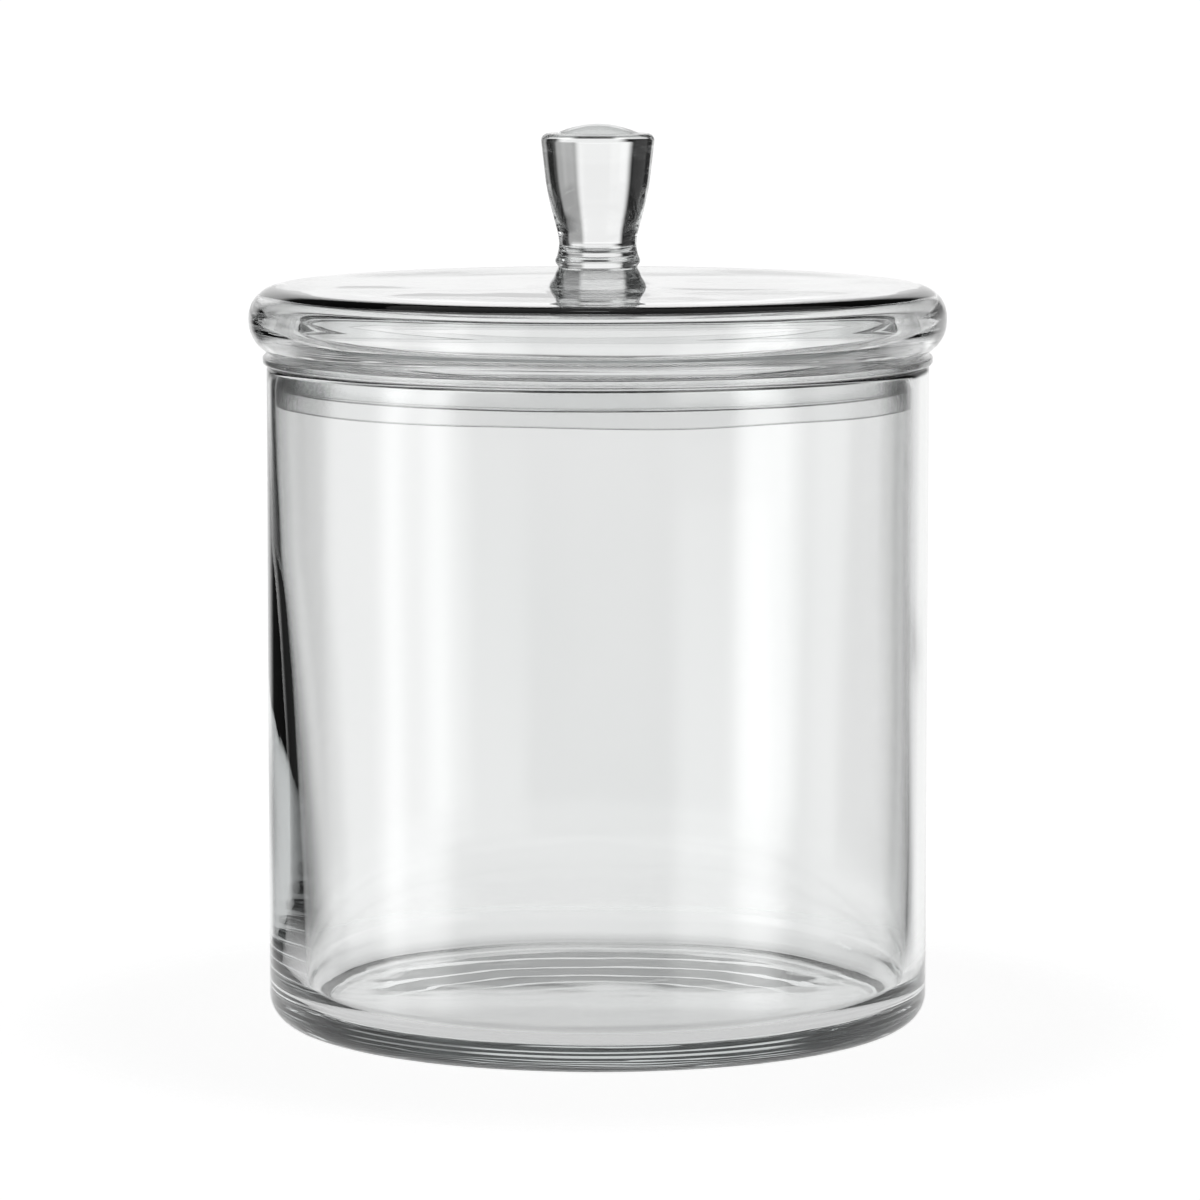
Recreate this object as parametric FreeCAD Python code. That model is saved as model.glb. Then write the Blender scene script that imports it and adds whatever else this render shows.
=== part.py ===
import FreeCAD, Part
import math
import os

os.makedirs("parts", exist_ok=True)

# Lidded glass canister. Millimetres, +Z up, origin at the centre of the base.
# Every piece is a solid of revolution about Z, so each is one outline in the
# plane of radius and height, turned once round the axis.

# Jar: one blown cylinder, with its wall thickening towards a heavy floor.
jar_radius = 73.5
jar_height = 147.0
rim_wall = 2.7
base_wall = 5.2
floor_thickness = 5.4
heel_radius = 6.5
floor_corner_radius = 7.0
push_up_radius = 52.0
push_up_height = 1.5
rim_rounding = 1.1

# Seal ring: an L-shaped section. Its flange lies on the rim and its skirt hangs inside the mouth.
flange_radius = 74.3
flange_thickness = 1.9
skirt_depth = 8.7
skirt_wall = 1.1
skirt_gap = 0.3
flange_gap = 0.05

# Lid: blown hollow, with a round edge, a flat top and a short neck inside the seal ring.
lid_radius = 77.4
lid_height = 15.2
lid_top_rounding = 6.7
lid_edge_rounding = 7.6
lid_edge_wall = 1.85
lid_roof_wall = 1.75
lid_under_wall = 3.3
hollow_top_rounding = 3.7
hollow_edge_rounding = 5.1
neck_wall = 2.4
neck_gap = 0.2
neck_depth = 7.2
lid_gap = 0.05

# Knob: solid glass, welded to the middle of the lid's top, with a collar above its foot.
knob_foot_radius = 11.0
knob_foot_edge_radius = 10.3
knob_foot_height = 1.0
knob_notch_radius = 8.7
knob_notch_height = 4.1
knob_collar_radius = 9.5
knob_collar_height = 5.4
knob_collar_rounding = 0.5
knob_neck_radius = 8.5
knob_neck_height = 9.6
knob_neck_rounding = 4.0
knob_body_radius = 11.25
knob_body_height = 20.4
knob_body_rounding = 40.0
knob_radius = 12.75
knob_shoulder_height = 33.7
knob_shoulder_rounding = 1.8
knob_dome_radius = 9.3
knob_height = 35.8

# Heights of the joints between the pieces.
flange_bottom = jar_height + flange_gap
flange_top = flange_bottom + flange_thickness
lid_bottom = flange_top + lid_gap
lid_top = lid_bottom + lid_height

# Radii of the pieces that sit one inside the other at the mouth.
mouth_radius = jar_radius - rim_wall
skirt_radius = mouth_radius - skirt_gap
seal_bore_radius = skirt_radius - skirt_wall
neck_radius = seal_bore_radius - neck_gap
neck_bore_radius = neck_radius - neck_wall


def point(radius, height):
    """A point of an outline, in the plane of radius and height."""
    return FreeCAD.Vector(radius, 0, height)


def corner_arc(before, corner, after, radius):
    """The arc of a given radius that is tangent to both lines at a corner."""
    towards_before = (before - corner).normalize()
    towards_after = (after - corner).normalize()
    half_angle = towards_before.getAngle(towards_after) / 2
    setback = radius / math.tan(half_angle)
    middle = (towards_before + towards_after).normalize()
    crown = radius / math.sin(half_angle) - radius
    start = corner + towards_before * setback
    end = corner + towards_after * setback
    return Part.Arc(start, corner + middle * crown, end), start, end


def cap_arc(radius, foot, crown):
    """The arc from the axis at height crown out to a radius at height foot, level on the axis."""
    rise = crown - foot
    sphere = (radius ** 2 + rise ** 2) / (2 * rise)
    half = radius / 2
    drop = abs(sphere) - math.sqrt(sphere ** 2 - half ** 2)
    middle = point(half, crown - math.copysign(drop, rise))
    return Part.Arc(point(0, crown), middle, point(radius, foot))


def rounded_path(corners):
    """Lines through corners of (radius, height, rounding), with each corner rounded by an arc."""
    places = [point(radius, height) for radius, height, rounding in corners]
    curves = []
    here = places[0]
    for index in range(1, len(corners) - 1):
        rounding = corners[index][2]
        if rounding == 0:
            curves.append(Part.LineSegment(here, places[index]))
            here = places[index]
            continue
        arc, start, end = corner_arc(places[index - 1], places[index], places[index + 1], rounding)
        if (start - here).Length > 0.001:
            curves.append(Part.LineSegment(here, start))
        curves.append(arc)
        here = end
    if (places[-1] - here).Length > 0.001:
        curves.append(Part.LineSegment(here, places[-1]))
    return curves


def turned(curves):
    """The solid that a closed outline makes when it turns once round the Z axis."""
    wire = Part.Wire([curve.toShape() for curve in curves])
    solid = Part.Face(wire).revolve(FreeCAD.Vector(0, 0, 0), FreeCAD.Vector(0, 0, 1), 360)
    if solid.ShapeType != "Solid":
        solid = solid.Solids[0]
    if solid.Volume < 0:
        solid.reverse()
    return solid


def jar():
    """Cylinder with a pushed-up base, a rounded heel, and a rim rounded by the flame."""
    base_radius = jar_radius - base_wall
    push_up = cap_arc(push_up_radius, 0, push_up_height)
    wall = rounded_path([
        (push_up_radius, 0, 0),
        (jar_radius, 0, heel_radius),
        (jar_radius, jar_height, rim_rounding),
        (mouth_radius, jar_height, rim_rounding),
        (mouth_radius, jar_height - skirt_depth * 2, 0),
        (base_radius, floor_thickness, floor_corner_radius),
        (0, floor_thickness, 0),
    ])
    axis = Part.LineSegment(point(0, floor_thickness), point(0, push_up_height))
    return turned([push_up] + wall + [axis])


def seal_ring():
    """Soft plastic ring: a flat flange with a thin skirt under its inner edge."""
    skirt_bottom = flange_bottom - skirt_depth
    outline = rounded_path([
        (seal_bore_radius, jar_height, 0),
        (seal_bore_radius, flange_top, 0),
        (flange_radius, flange_top, 0.4),
        (flange_radius, flange_bottom, 0.8),
        (skirt_radius, flange_bottom, 0),
        (skirt_radius, skirt_bottom, 0.4),
        (seal_bore_radius, skirt_bottom, 0.4),
        (seal_bore_radius, jar_height, 0),
    ])
    return turned(outline)


def lid():
    """Hollow cap: its edge is round in section, and its neck is open at the bottom."""
    neck_bottom = lid_bottom - neck_depth
    hollow_radius = lid_radius - lid_edge_wall
    hollow_top = lid_top - lid_roof_wall
    hollow_bottom = lid_bottom + lid_under_wall
    outline = rounded_path([
        (0, lid_top, 0),
        (lid_radius, lid_top, lid_top_rounding),
        (lid_radius, lid_bottom, lid_edge_rounding),
        (neck_radius, lid_bottom, 0),
        (neck_radius, neck_bottom, 0.9),
        (neck_bore_radius, neck_bottom, 0.9),
        (neck_bore_radius, hollow_bottom, 1.0),
        (hollow_radius, hollow_bottom, hollow_edge_rounding),
        (hollow_radius, hollow_top, hollow_top_rounding),
        (0, hollow_top, 0),
    ])
    axis = Part.LineSegment(point(0, hollow_top), point(0, lid_top))
    return turned(outline + [axis])


def knob():
    """Tapered handle: foot, collar, narrow neck, a cone that widens upwards, and a low dome."""
    shoulder = lid_top + knob_shoulder_height
    sides = rounded_path([
        (0, lid_top, 0),
        (knob_foot_radius, lid_top, 0),
        (knob_foot_edge_radius, lid_top + knob_foot_height, 0.8),
        (knob_notch_radius, lid_top + knob_notch_height, knob_collar_rounding),
        (knob_collar_radius, lid_top + knob_collar_height, knob_collar_rounding),
        (knob_neck_radius, lid_top + knob_neck_height, knob_neck_rounding),
        (knob_body_radius, lid_top + knob_body_height, knob_body_rounding),
        (knob_radius, shoulder, knob_shoulder_rounding),
        (knob_dome_radius, shoulder, 0),
    ])
    dome = cap_arc(knob_dome_radius, shoulder, lid_top + knob_height)
    axis = Part.LineSegment(point(0, lid_top + knob_height), point(0, lid_top))
    return turned(sides + [dome, axis])


pieces = {"jar": jar(), "seal_ring": seal_ring(), "lid": lid(), "knob": knob()}
for name, shape in pieces.items():
    if not shape.isValid() or not shape.isClosed():
        raise ValueError("piece is not a closed valid solid: " + name)
    shape.exportStep("parts/" + name + ".step")
    print(name, "volume", round(shape.Volume), "mm3, box", shape.BoundBox)
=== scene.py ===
from math import cos, radians, sin, tau

import bmesh
import bpy
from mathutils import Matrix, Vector, noise


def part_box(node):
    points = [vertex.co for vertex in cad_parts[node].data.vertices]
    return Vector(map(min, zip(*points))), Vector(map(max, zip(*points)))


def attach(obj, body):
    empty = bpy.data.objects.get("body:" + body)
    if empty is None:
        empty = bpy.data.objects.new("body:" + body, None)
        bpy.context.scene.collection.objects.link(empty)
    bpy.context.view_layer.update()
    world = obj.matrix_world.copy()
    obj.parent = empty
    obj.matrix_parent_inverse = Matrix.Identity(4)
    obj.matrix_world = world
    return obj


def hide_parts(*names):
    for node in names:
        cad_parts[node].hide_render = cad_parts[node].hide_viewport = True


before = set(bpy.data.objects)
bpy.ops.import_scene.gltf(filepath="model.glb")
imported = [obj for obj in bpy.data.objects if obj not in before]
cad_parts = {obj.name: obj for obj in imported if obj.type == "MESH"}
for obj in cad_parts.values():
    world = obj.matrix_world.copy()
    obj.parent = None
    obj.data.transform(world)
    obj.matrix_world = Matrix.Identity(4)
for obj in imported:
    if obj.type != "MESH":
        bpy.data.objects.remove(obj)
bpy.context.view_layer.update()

# Jar. A blown cylinder of clear glass with a heavy floor, a slightly pushed-up base and a
# rim rounded in the flame. The blowing leaves the wall thicker low down on one side, and
# leaves slow ripples in the bore and a swirl in the floor.
jar_radius = 0.0735
jar_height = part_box("jar")[1].z
rim_wall = 0.0027
rim_rounding = 0.0012
base_wall = 0.0048
bore_radius = jar_radius - rim_wall
bore_base_radius = jar_radius - base_wall
floor_thickness = 0.0054
heel_rounding = 0.0065
push_up_radius = 0.052
push_up_height = 0.0015
thick_side_height = 0.104
thick_side_extra = 0.0012
thick_side_narrowness = 7
ripple_start_radius = 0.055
bore_ripple = 0.00022
bore_ripple_scale = 34
outside_ripple = 0.00008
outside_ripple_scale = 26
floor_swirl = 0.00009
floor_swirl_scale = 38
fine_swirl_scale = 90
floor_swirl_fade = 0.004
turn_steps = 256


def outline_mesh(corners, closed):
    """A wire in the plane of radius and height through (radius, height, rounding) corners."""
    mesh = bmesh.new()
    verts = [mesh.verts.new((radius, 0, height)) for radius, height, rounding in corners]
    for first, second in zip(verts, verts[1:]):
        mesh.edges.new((first, second))
    if closed:
        mesh.edges.new((verts[-1], verts[0]))
    for vert, (radius, height, rounding) in zip(verts, corners):
        if rounding > 0:
            bmesh.ops.bevel(mesh, geom=[vert], offset=rounding, offset_type="OFFSET", segments=10,
                            profile=0.5, affect="VERTICES", material=-1)
    bmesh.ops.remove_doubles(mesh, verts=mesh.verts, dist=1e-6)
    return mesh


def divide_long_edges(mesh, longest):
    """Cuts the long straight stretches of an outline, so that they can carry ripples."""
    for edge in list(mesh.edges):
        cuts = int(edge.calc_length() / longest)
        if cuts > 0:
            bmesh.ops.subdivide_edges(mesh, edges=[edge], cuts=cuts)


def turned_piece(name, corners, longest=0.003, closed=False, shape=None, steps=turn_steps):
    """A closed piece made by turning an outline once round Z, with its surface moved by shape."""
    mesh = outline_mesh(corners, closed)
    divide_long_edges(mesh, longest)
    bmesh.ops.spin(mesh, geom=mesh.verts[:] + mesh.edges[:], cent=(0, 0, 0), axis=(0, 0, 1),
                   angle=tau, steps=steps, use_merge=True, use_duplicate=False)
    bmesh.ops.remove_doubles(mesh, verts=mesh.verts, dist=1e-6)
    if shape:
        for vert in mesh.verts:
            vert.co = shape(vert.co)
    bmesh.ops.recalc_face_normals(mesh, faces=mesh.faces)
    for face in mesh.faces:
        face.smooth = True
    data = bpy.data.meshes.new(name)
    mesh.to_mesh(data)
    mesh.free()
    piece = bpy.data.objects.new(name, data)
    bpy.context.scene.collection.objects.link(piece)
    return piece


def pushed(place, amount):
    """A place moved outwards from the axis by an amount."""
    radius = max(place.xy.length, 1e-6)
    return Vector((place.x * (1 + amount / radius), place.y * (1 + amount / radius), place.z))


def smooth_step(low, high, value):
    """A share that rises smoothly from 0 at low to 1 at high."""
    part = min(max((value - low) / (high - low), 0), 1)
    return part * part * (3 - 2 * part)


def rippled_bore(place):
    """The bore pushed in on the thick side, low down, and rippled all round."""
    side = max(-place.x / place.xy.length, 0) ** thick_side_narrowness
    low_down = 1 - min(place.z / thick_side_height, 1) ** 3
    inward = side * low_down * thick_side_extra
    drawn = Vector((place.x, place.y, place.z * 0.45))
    ripple = noise.noise(drawn * bore_ripple_scale + Vector((3, 7, 1)))
    return pushed(place, -inward + bore_ripple * ripple)


def swirled_floor(place):
    """The swirl of the floor, which dies away up the corner of the bore."""
    fade = 1 - smooth_step(floor_thickness, floor_thickness + floor_swirl_fade, place.z)
    turn = Vector((place.x * 1.0 + place.y * 0.6, place.y * 1.7 - place.x * 0.5, 0))
    broad = noise.noise(turn * floor_swirl_scale + Vector((1, 5, 2)))
    fine = noise.noise(turn * fine_swirl_scale)
    place.z += fade * floor_swirl * (broad + 0.5 * fine)
    return place


def blown_jar(place):
    """The marks of blowing: in the bore, in the floor and, more faintly, on the outside."""
    radius = place.xy.length
    if radius < jar_radius - rim_wall * 0.6 and place.z > floor_thickness * 0.8:
        if radius > ripple_start_radius:
            place = rippled_bore(place)
        if place.z < floor_thickness + floor_swirl_fade:
            place = swirled_floor(place)
        return place
    drawn = Vector((place.x, place.y, place.z * 0.4))
    ripple = noise.noise(drawn * outside_ripple_scale + Vector((11, 2, 5)))
    return pushed(place, outside_ripple * ripple * smooth_step(0.01, 0.03, radius))


jar = turned_piece("jar_glass", [
    (0, push_up_height, 0),
    (push_up_radius * 0.5, push_up_height, 0.020),
    (push_up_radius, 0, 0.003),
    (jar_radius, 0, heel_rounding),
    (jar_radius, jar_height, rim_rounding),
    (bore_radius, jar_height, rim_rounding),
    (bore_radius, jar_height - 0.018, 0.006),
    (bore_base_radius, floor_thickness, 0.007),
    (0, floor_thickness, 0),
], shape=blown_jar)


def glass_surface():
    """The group of marks that blowing leaves in glass: slow waves, fine cords and faint haze."""
    group = bpy.data.node_groups.new("blown_glass_marks", "ShaderNodeTree")
    inputs = {
        "Vector": "NodeSocketVector",
        "Wave Size": "NodeSocketFloat",
        "Cord Size": "NodeSocketFloat",
        "Tint": "NodeSocketColor",
        "Haze": "NodeSocketFloat",
    }
    outputs = {
        "Color": "NodeSocketColor",
        "Roughness": "NodeSocketFloat",
        "Height": "NodeSocketFloat",
    }
    for title, kind in inputs.items():
        group.interface.new_socket(title, in_out="INPUT", socket_type=kind)
    for title, kind in outputs.items():
        group.interface.new_socket(title, in_out="OUTPUT", socket_type=kind)
    nodes, links = group.nodes, group.links
    start = nodes.new("NodeGroupInput")
    end = nodes.new("NodeGroupOutput")

    waves = nodes.new("ShaderNodeTexNoise")
    waves.inputs["Detail"].default_value = 1.5
    waves.inputs["Roughness"].default_value = 0.4
    links.new(start.outputs["Vector"], waves.inputs["Vector"])
    links.new(start.outputs["Wave Size"], waves.inputs["Scale"])

    stretch = nodes.new("ShaderNodeMapping")
    stretch.inputs["Scale"].default_value = (1.0, 1.0, 0.12)
    links.new(start.outputs["Vector"], stretch.inputs["Vector"])
    cords = nodes.new("ShaderNodeTexNoise")
    cords.inputs["Detail"].default_value = 3.0
    cords.inputs["Distortion"].default_value = 0.6
    links.new(stretch.outputs["Vector"], cords.inputs["Vector"])
    links.new(start.outputs["Cord Size"], cords.inputs["Scale"])

    height = nodes.new("ShaderNodeMath")
    height.operation = "MULTIPLY_ADD"
    height.inputs[1].default_value = 0.25
    links.new(cords.outputs["Fac"], height.inputs[0])
    links.new(waves.outputs["Fac"], height.inputs[2])
    links.new(height.outputs["Value"], end.inputs["Height"])

    haze = nodes.new("ShaderNodeMapRange")
    haze.inputs["From Min"].default_value = 0.45
    haze.inputs["From Max"].default_value = 0.75
    links.new(cords.outputs["Fac"], haze.inputs["Value"])
    links.new(start.outputs["Haze"], haze.inputs["To Max"])
    links.new(haze.outputs["Result"], end.inputs["Roughness"])

    tint = nodes.new("ShaderNodeMix")
    tint.data_type = "RGBA"
    tint.inputs["A"].default_value = (1.0, 1.0, 1.0, 1.0)
    links.new(waves.outputs["Fac"], tint.inputs["Factor"])
    links.new(start.outputs["Tint"], tint.inputs["B"])
    links.new(tint.outputs["Result"], end.inputs["Color"])
    return group


glass_marks = glass_surface()
glass_tint = (0.965, 0.975, 0.972, 1.0)
glass_depth_colour = (0.88, 0.89, 0.89, 1.0)
glass_haze = 0.015


def clear_glass(name, wave_size, cord_size, wave_depth, absorption):
    """Clear glass: marks of blowing in its surface, and a very slight grey in its depth."""
    material = bpy.data.materials.new(name)
    material.use_nodes = True
    nodes, links = material.node_tree.nodes, material.node_tree.links
    shader = nodes["Principled BSDF"]
    shader.inputs["IOR"].default_value = 1.52
    shader.inputs["Metallic"].default_value = 0.0
    shader.inputs["Transmission Weight"].default_value = 1.0
    place = nodes.new("ShaderNodeTexCoord")
    marks = nodes.new("ShaderNodeGroup")
    marks.node_tree = glass_marks
    marks.inputs["Wave Size"].default_value = wave_size
    marks.inputs["Cord Size"].default_value = cord_size
    marks.inputs["Tint"].default_value = glass_tint
    marks.inputs["Haze"].default_value = glass_haze
    links.new(place.outputs["Object"], marks.inputs["Vector"])
    links.new(marks.outputs["Color"], shader.inputs["Base Color"])
    links.new(marks.outputs["Roughness"], shader.inputs["Roughness"])
    bump = nodes.new("ShaderNodeBump")
    bump.inputs["Strength"].default_value = 1.0
    bump.inputs["Distance"].default_value = wave_depth
    links.new(marks.outputs["Height"], bump.inputs["Height"])
    links.new(bump.outputs["Normal"], shader.inputs["Normal"])
    depth = nodes.new("ShaderNodeVolumeAbsorption")
    depth.inputs["Color"].default_value = glass_depth_colour
    depth.inputs["Density"].default_value = absorption
    links.new(depth.outputs["Volume"], nodes["Material Output"].inputs["Volume"])
    return material


jar.data.materials.append(
    clear_glass("jar_glass", wave_size=20, cord_size=45, wave_depth=0.00006, absorption=26))
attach(jar, "jar")
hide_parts("jar")

# Seal ring. A soft, milky plastic ring, moulded in one piece: a flat flange that lies on the
# jar's rim, and a thin skirt that hangs inside the mouth. It grips the neck of the lid.
ring_low, ring_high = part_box("seal_ring")
seat_gap = 0.00005
flange_radius = 0.0743
flange_bottom = jar_height + seat_gap
skirt_radius = 0.0705
seal_bore_radius = 0.0694
skirt_edge_wave = 0.00035
skirt_edge_wave_scale = 30
skirt_edge_wave_height = 0.004


def soft_ring(place):
    """The skirt's lower edge is a little uneven."""
    wave = noise.noise(Vector((place.x, place.y, 0)) * skirt_edge_wave_scale)
    hang = smooth_step(flange_bottom - skirt_edge_wave_height, ring_low.z, place.z)
    place.z += skirt_edge_wave * wave * hang
    return place


seal_ring = turned_piece("seal_ring_plastic", [
    (seal_bore_radius, ring_high.z, 0.0003),
    (flange_radius, ring_high.z, 0.0005),
    (flange_radius, flange_bottom, 0.0008),
    (skirt_radius, flange_bottom, 0.0003),
    (skirt_radius, ring_low.z, 0.0004),
    (seal_bore_radius, ring_low.z, 0.0004),
], longest=0.001, closed=True, shape=soft_ring)


def milky_plastic():
    """Translucent plastic: clouded inside, with a satin moulded face."""
    material = bpy.data.materials.new("seal_plastic")
    material.use_nodes = True
    nodes, links = material.node_tree.nodes, material.node_tree.links
    shader = nodes["Principled BSDF"]
    shader.inputs["IOR"].default_value = 1.43
    shader.inputs["Metallic"].default_value = 0.0
    shader.inputs["Transmission Weight"].default_value = 0.97
    place = nodes.new("ShaderNodeTexCoord")
    cloud = nodes.new("ShaderNodeTexNoise")
    cloud.inputs["Scale"].default_value = 45
    cloud.inputs["Detail"].default_value = 4
    links.new(place.outputs["Object"], cloud.inputs["Vector"])
    milk = nodes.new("ShaderNodeValToRGB")
    milk.color_ramp.elements[0].position = 0.3
    milk.color_ramp.elements[0].color = (0.965, 0.97, 0.97, 1)
    milk.color_ramp.elements[1].position = 0.75
    milk.color_ramp.elements[1].color = (0.995, 0.995, 0.995, 1)
    links.new(cloud.outputs["Fac"], milk.inputs["Fac"])
    links.new(milk.outputs["Color"], shader.inputs["Base Color"])
    satin = nodes.new("ShaderNodeMapRange")
    satin.inputs["To Min"].default_value = 0.06
    satin.inputs["To Max"].default_value = 0.16
    links.new(cloud.outputs["Fac"], satin.inputs["Value"])
    links.new(satin.outputs["Result"], shader.inputs["Roughness"])
    grain = nodes.new("ShaderNodeTexNoise")
    grain.inputs["Scale"].default_value = 900
    links.new(place.outputs["Object"], grain.inputs["Vector"])
    bump = nodes.new("ShaderNodeBump")
    bump.inputs["Distance"].default_value = 0.00003
    links.new(grain.outputs["Fac"], bump.inputs["Height"])
    links.new(bump.outputs["Normal"], shader.inputs["Normal"])
    return material


seal_ring.data.materials.append(milky_plastic())
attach(seal_ring, "seal_ring")
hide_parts("seal_ring")

# Lid. A hollow cap of clear glass, blown as a flat bulb and opened at the bottom into a short
# neck. Its edge is about half a circle in section, and its top is flat with slow ripples.
lid_low, lid_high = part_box("lid")
lid_radius = 0.0774
lid_bottom = ring_high.z + seat_gap
lid_top = lid_high.z
edge_rounding = 0.0076
top_rounding = 0.0067
lid_wall = 0.00185
lid_roof = 0.00175
lid_under = 0.0033
lid_dish = 0.0003
dish_inner_radius = 0.053
dish_outer_radius = 0.066
hollow_radius = lid_radius - lid_wall
hollow_rounding = 0.0051
hollow_top_rounding = 0.0037
neck_radius = 0.0692
neck_bore = 0.0668
neck_rounding = 0.0009
hollow_ripple = 0.00018
lid_top_ripple = 0.00005
lid_ripple_scale = 30


def blown_lid(place):
    """A top that sinks a little inside its edge, with ripples that are stronger on the inside."""
    radius = place.xy.length
    between = lid_bottom + lid_under * 0.5 < place.z < lid_top - lid_roof * 0.5
    inside = between and radius < lid_radius - lid_wall * 0.5
    drawn = Vector((place.x, place.y * 1.3, place.z))
    ripple = noise.noise(drawn * lid_ripple_scale + Vector((4, 9, 2)))
    high = smooth_step(lid_bottom + edge_rounding, lid_top - lid_roof, place.z)
    sink = lid_dish * (1 - smooth_step(dish_inner_radius, dish_outer_radius, radius)) * high
    if inside:
        return place + Vector((0, 0, hollow_ripple * ripple - sink))
    over_foot = smooth_step(0.012, 0.020, radius)
    return place + Vector((0, 0, lid_top_ripple * ripple * over_foot * high - sink))


lid = turned_piece("lid_glass", [
    (0, lid_top, 0),
    (lid_radius, lid_top, top_rounding),
    (lid_radius, lid_bottom, edge_rounding),
    (neck_radius, lid_bottom, 0.0003),
    (neck_radius, lid_low.z, neck_rounding),
    (neck_bore, lid_low.z, neck_rounding),
    (neck_bore, lid_bottom + lid_under, 0.0010),
    (hollow_radius, lid_bottom + lid_under, hollow_rounding),
    (hollow_radius, lid_top - lid_roof, hollow_top_rounding),
    (0, lid_top - lid_roof, 0),
], shape=blown_lid)
lid.data.materials.append(
    clear_glass("lid_glass", wave_size=20, cord_size=45, wave_depth=0.00004, absorption=12))
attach(lid, "lid")
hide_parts("lid")

# Knob. A solid gather of clear glass, drawn to a neck, cut off at its shoulder and fused to
# the lid while hot, so its foot runs into the lid's top.
knob_low, knob_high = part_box("knob")
weld_depth = 0.0010
knob_radius = 0.01275
shoulder = knob_high.z - 0.0021
tool_ring_depth = 0.00008
tool_ring_spacing = 2600
tool_ring_low = 0.003
tool_ring_high = 0.009
knob_unevenness = 0.00005


def drawn_knob(place):
    """Rings left round the foot by the tool, and a slight unevenness all over."""
    above_lid = place.z - knob_low.z
    foot = 1 - smooth_step(tool_ring_low, tool_ring_high, above_lid)
    rings = sin(above_lid * tool_ring_spacing + 1.5 * noise.noise(place * 120))
    amount = tool_ring_depth * rings * foot + knob_unevenness * noise.noise(place * 110)
    return pushed(place, amount * smooth_step(0.001, 0.006, place.xy.length))


# The outline runs up from the weld: flared foot, groove, collar, neck, tapered body, shoulder
# and low dome.
knob = turned_piece("knob_glass", [
    (0, knob_low.z - weld_depth, 0),
    (0.0112, knob_low.z - weld_depth, 0),
    (0.0103, knob_low.z + 0.0010, 0.0008),
    (0.0087, knob_low.z + 0.0041, 0.0005),
    (0.0095, knob_low.z + 0.0054, 0.0005),
    (0.0085, knob_low.z + 0.0084, 0.0012),
    (0.0087, knob_low.z + 0.0112, 0.0012),
    (0.01125, knob_low.z + 0.0204, 0.0040),
    (knob_radius, shoulder, 0.0018),
    (0.0093, shoulder, 0.0006),
    (0.0050, knob_high.z - 0.0003, 0.0035),
    (0, knob_high.z, 0),
], longest=0.0005, shape=drawn_knob, steps=160)
knob.data.materials.append(
    clear_glass("knob_glass", wave_size=60, cord_size=150, wave_depth=0.00003, absorption=8))
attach(knob, "lid")
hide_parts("knob")

# Table. A round, pale table that glows faintly in place of the light of a white tent, and fades
# out at its edge. Seen directly its glow is an even white; to the glass the glow carries a
# painted shadow, greyer under the jar than beyond it.
table_radius = 0.17
table_drop = 0.0003
table_colour = (0.35, 0.35, 0.35, 1)
table_glow_seen = 0.93
table_fade_start = 0.6
# The glow with its painted shadow: distance from the middle and glow strength, darker under the
# jar.
painted_shadow_glows = [(0.070, 0.6), (0.084, 0.9)]


def table_disc():
    """A flat disc just under the base."""
    mesh = bmesh.new()
    bmesh.ops.create_circle(mesh, cap_ends=True, segments=128, radius=table_radius)
    data = bpy.data.meshes.new("table")
    mesh.to_mesh(data)
    mesh.free()
    disc = bpy.data.objects.new("table", data)
    disc.location.z = -table_drop
    bpy.context.scene.collection.objects.link(disc)
    return disc


def table_glow_and_painted_shadow():
    """Matt paint with a glow: an even white to the camera, and to other rays a painted shadow
    that is darker towards the middle; clear at the table's edge.
    """
    material = bpy.data.materials.new("table_glow_and_painted_shadow")
    material.use_nodes = True
    nodes, links = material.node_tree.nodes, material.node_tree.links
    shader = nodes["Principled BSDF"]
    shader.inputs["Base Color"].default_value = table_colour
    shader.inputs["Roughness"].default_value = 0.9
    shader.inputs["Specular IOR Level"].default_value = 0.0
    shader.inputs["Emission Color"].default_value = (1, 1, 1, 1)
    place = nodes.new("ShaderNodeTexCoord")
    span = nodes.new("ShaderNodeVectorMath")
    span.operation = "LENGTH"
    links.new(place.outputs["Object"], span.inputs[0])
    fade = nodes.new("ShaderNodeMapRange")
    fade.interpolation_type = "SMOOTHSTEP"
    fade.inputs["From Min"].default_value = table_radius
    fade.inputs["From Max"].default_value = table_radius * table_fade_start
    links.new(span.outputs["Value"], fade.inputs["Value"])
    links.new(fade.outputs["Result"], shader.inputs["Alpha"])

    # Painted shadow: the glow that other rays see is greyer under the jar (0.6) and lighter
    # beyond it (0.9).
    share = nodes.new("ShaderNodeMath")
    share.operation = "DIVIDE"
    share.inputs[1].default_value = table_radius
    links.new(span.outputs["Value"], share.inputs[0])
    shade = nodes.new("ShaderNodeValToRGB")
    ramp = shade.color_ramp.elements
    ramp.remove(ramp[1])
    middle = painted_shadow_glows[0][1]
    ramp[0].position = 0
    ramp[0].color = (middle, middle, middle, 1)
    for distance, grey in painted_shadow_glows:
        ramp.new(distance / table_radius).color = (grey, grey, grey, 1)
    links.new(share.outputs["Value"], shade.inputs["Fac"])

    # Camera rays see an even glow; all other rays see the glow with its painted shadow.
    path = nodes.new("ShaderNodeLightPath")
    glow = nodes.new("ShaderNodeMapRange")
    glow.inputs["To Max"].default_value = table_glow_seen
    links.new(path.outputs["Is Camera Ray"], glow.inputs["Value"])
    links.new(shade.outputs["Color"], glow.inputs["To Min"])
    links.new(glow.outputs["Result"], shader.inputs["Emission Strength"])
    return material


table = table_disc()
table.data.materials.append(table_glow_and_painted_shadow())

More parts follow.
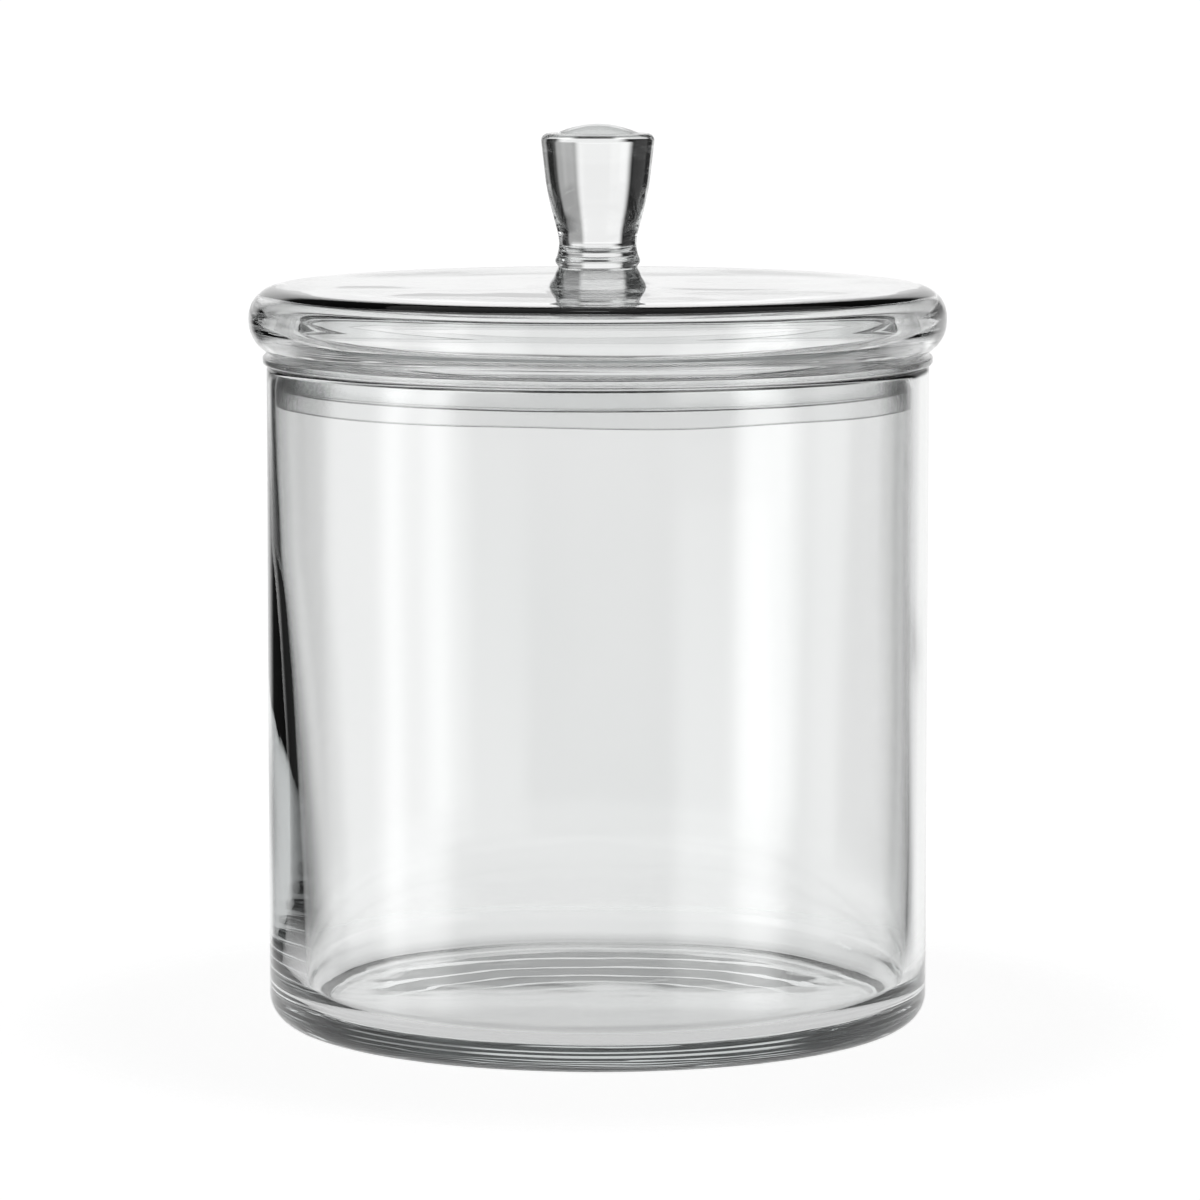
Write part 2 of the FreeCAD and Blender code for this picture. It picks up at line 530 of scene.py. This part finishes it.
# Studio. A weak, wide light overhead, and white screens all round with dark gaps between
# them, which draw the glass's edges. Seen directly, everything round the table is white.
overhead_light = bpy.data.lights.new("overhead_light", "AREA")
overhead_light.shape = "SQUARE"
overhead_light.size = 2.4
overhead_light.energy = 3
overhead_from = Vector((0.1, 0.2, 1))
overhead_distance = 1.7
middle_of_canister = Vector((0, 0, 0.1))
overhead = bpy.data.objects.new("overhead_light", overhead_light)
overhead.location = overhead_from.normalized() * overhead_distance + middle_of_canister
overhead.rotation_euler = overhead_from.to_track_quat("Z", "Y").to_euler()
overhead.visible_camera = False
bpy.context.scene.collection.objects.link(overhead)

world = bpy.data.worlds.new("studio")
bpy.context.scene.world = world
world.use_nodes = True
nodes, links = world.node_tree.nodes, world.node_tree.links
nodes.clear()


def world_math(operation, first, second):
    """A sum or product in the world's nodes, of sockets or of plain numbers."""
    node = nodes.new("ShaderNodeMath")
    node.operation = operation
    for socket, value in zip(node.inputs, (first, second)):
        if isinstance(value, bpy.types.NodeSocket):
            links.new(value, socket)
        else:
            socket.default_value = value
    return node.outputs[0]


def world_step(value, low, high):
    """A smooth rise of a world value from low to high, or a fall if high is the lower one."""
    node = nodes.new("ShaderNodeMapRange")
    node.interpolation_type = "SMOOTHSTEP"
    node.inputs["From Min"].default_value = low
    node.inputs["From Max"].default_value = high
    links.new(value, node.inputs["Value"])
    return node.outputs["Result"]


gaze = nodes.new("ShaderNodeTexCoord")
parts = nodes.new("ShaderNodeSeparateXYZ")
links.new(gaze.outputs["Generated"], parts.inputs[0])
rise = parts.outputs["Z"]
flat = nodes.new("ShaderNodeVectorMath")
flat.operation = "MULTIPLY"
flat.inputs[1].default_value = (1, 1, 0)
links.new(gaze.outputs["Generated"], flat.inputs[0])
level = nodes.new("ShaderNodeVectorMath")
level.operation = "NORMALIZE"
links.new(flat.outputs["Vector"], level.inputs[0])
foot_softness = 0.03
head_softness = 0.05


def white_screen(bearing, half_width, edge, foot, head, brightness):
    """The light of one screen: full between its sides, its foot and its head, with soft edges."""
    towards = nodes.new("ShaderNodeVectorMath")
    towards.operation = "DOT_PRODUCT"
    towards.inputs[1].default_value = (cos(radians(bearing)), sin(radians(bearing)), 0)
    links.new(level.outputs["Vector"], towards.inputs[0])
    side = cos(radians(half_width + edge))
    full = cos(radians(half_width - edge))
    across = world_step(towards.outputs["Value"], side, full)
    above = world_step(rise, foot - foot_softness, foot + foot_softness)
    under = world_step(rise, head + head_softness, head - head_softness)
    screen = world_math("MULTIPLY", world_math("MULTIPLY", across, above), under)
    return world_math("MULTIPLY", screen, brightness)


# Each screen: its bearing, half its width and its soft edge in degrees, the heights of its
# foot and head as the sine of their elevation, and its brightness.
screens = [
    (83, 26, 6, -0.30, 0.00, 0.93),
    (96, 20, 4, 0.00, 0.36, 0.93),
    (65, 12, 3, 0.00, 0.30, 0.36),
    (12, 20, 5, -0.30, 0.30, 0.45),
    (180, 17, 5, -0.30, 0.30, 0.85),
    (203, 11, 8, -0.30, 0.30, 1.7),
    (329, 7, 6, -0.30, 0.30, 1.0),
    (128, 24, 5, -0.62, -0.25, 0.95),
    (315, 17, 5, -0.62, -0.12, 0.95),
    (50, 20, 6, -0.62, -0.25, 0.9),
    (225, 14, 6, -0.62, -0.24, 0.8),
]
gap_light = 0.02
floor_light = 0.9
floor_starts = -0.55
floor_full = -0.70
surroundings_seen = 1.05
screen_light = gap_light
for screen in screens:
    screen_light = world_math("ADD", screen_light, white_screen(*screen))
below = world_math("MULTIPLY", world_step(rise, floor_starts, floor_full), floor_light)

studio = nodes.new("ShaderNodeBackground")
studio.inputs["Color"].default_value = (1, 1, 1, 1)
links.new(world_math("ADD", screen_light, below), studio.inputs["Strength"])
seen = nodes.new("ShaderNodeBackground")
seen.inputs["Color"].default_value = (1, 1, 1, 1)
seen.inputs["Strength"].default_value = surroundings_seen
path = nodes.new("ShaderNodeLightPath")
choice = nodes.new("ShaderNodeMixShader")
links.new(path.outputs["Is Camera Ray"], choice.inputs["Fac"])
links.new(studio.outputs["Background"], choice.inputs[1])
links.new(seen.outputs["Background"], choice.inputs[2])
sky = nodes.new("ShaderNodeOutputWorld")
links.new(choice.outputs["Shader"], sky.inputs["Surface"])

# Camera. A long lens a little above the lid. Light may turn often inside the glass, because
# thick edges pass it round many times before it leaves.
glass_bounces = 56
camera_data = bpy.data.cameras.new("camera")
camera_data.lens = 189.6
camera_data.sensor_width = 36
camera_data.clip_end = 50
camera = bpy.data.objects.new("camera", camera_data)
camera.location = (0.0005, -1.4, 0.255)
aim = Vector((0.0005, 0, 0.094)) - camera.location
camera.rotation_euler = aim.to_track_quat("-Z", "Y").to_euler()
bpy.context.scene.collection.objects.link(camera)
bpy.context.scene.camera = camera

bpy.context.scene.view_settings.view_transform = "Standard"
bpy.context.scene.cycles.max_bounces = glass_bounces
bpy.context.scene.cycles.transmission_bounces = glass_bounces
bpy.context.scene.cycles.glossy_bounces = 24
bpy.context.scene.cycles.use_denoising = True
